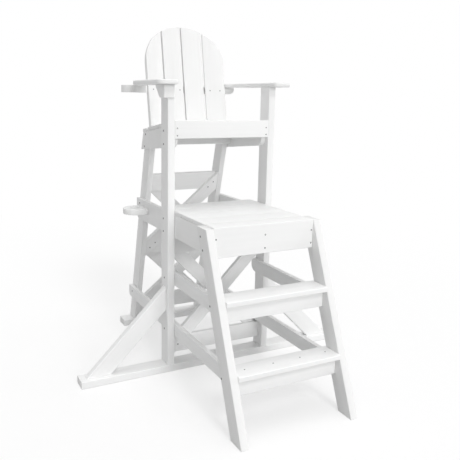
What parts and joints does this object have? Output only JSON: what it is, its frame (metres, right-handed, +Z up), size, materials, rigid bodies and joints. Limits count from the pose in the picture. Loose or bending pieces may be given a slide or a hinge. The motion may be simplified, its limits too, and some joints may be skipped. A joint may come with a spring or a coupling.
{
  "type": "lifeguard chair",
  "caption": "Raised lifeguard chair of white plastic lumber with a front ladder, foot deck, curved slatted back, wide armrests and cross-braced frame on outrigger base beams.",
  "frame": {"origin": "on the floor at the middle of the footprint, in line with the front face of the front posts", "axes": "+Z up, +Y towards the back of the chair, +X to the right of someone facing the chair from the ladder side"},
  "size_m": [1.524, 1.5911, 1.818],
  "materials": {
    "white_lumber": "satin white recycled-plastic lumber with softly rounded edges"
  },
  "bodies": {
    "root": {"front_base_beam": "white_lumber", "rear_base_beam": "white_lumber", "left_front_post": "white_lumber", "right_front_post": "white_lumber", "left_rear_leg": "white_lumber", "right_rear_leg": "white_lumber", "left_lower_side_rail": "white_lumber", "right_lower_side_rail": "white_lumber", "left_outrigger_brace": "white_lumber", "right_outrigger_brace": "white_lumber", "front_lower_crossboard": "white_lumber", "front_upper_crossboard": "white_lumber", "front_rising_brace": "white_lumber", "front_falling_brace": "white_lumber", "rear_lower_crossboard": "white_lumber", "rear_middle_crossboard": "white_lumber", "rear_upper_crossboard": "white_lumber", "rear_lower_rising_brace": "white_lumber", "rear_lower_falling_brace": "white_lumber", "rear_upper_rising_brace": "white_lumber", "rear_upper_falling_brace": "white_lumber", "left_ladder_leg": "white_lumber", "right_ladder_leg": "white_lumber", "left_ladder_rail": "white_lumber", "right_ladder_rail": "white_lumber", "lower_tread": "white_lumber", "lower_riser": "white_lumber", "upper_tread": "white_lumber", "upper_riser": "white_lumber", "left_deck_rail": "white_lumber", "right_deck_rail": "white_lumber", "deck_front_board": "white_lumber", "deck_boards": "white_lumber", "left_seat_panel": "white_lumber", "right_seat_panel": "white_lumber", "seat_front_board": "white_lumber", "seat_rear_board": "white_lumber", "seat_slats": "white_lumber", "lower_back_rail": "white_lumber", "back_slats": "white_lumber", "arm_rail": "white_lumber", "left_arm": "white_lumber", "right_arm": "white_lumber", "left_arm_bracket": "white_lumber", "left_pole_plate": "white_lumber"}
  },
  "joints": []
}
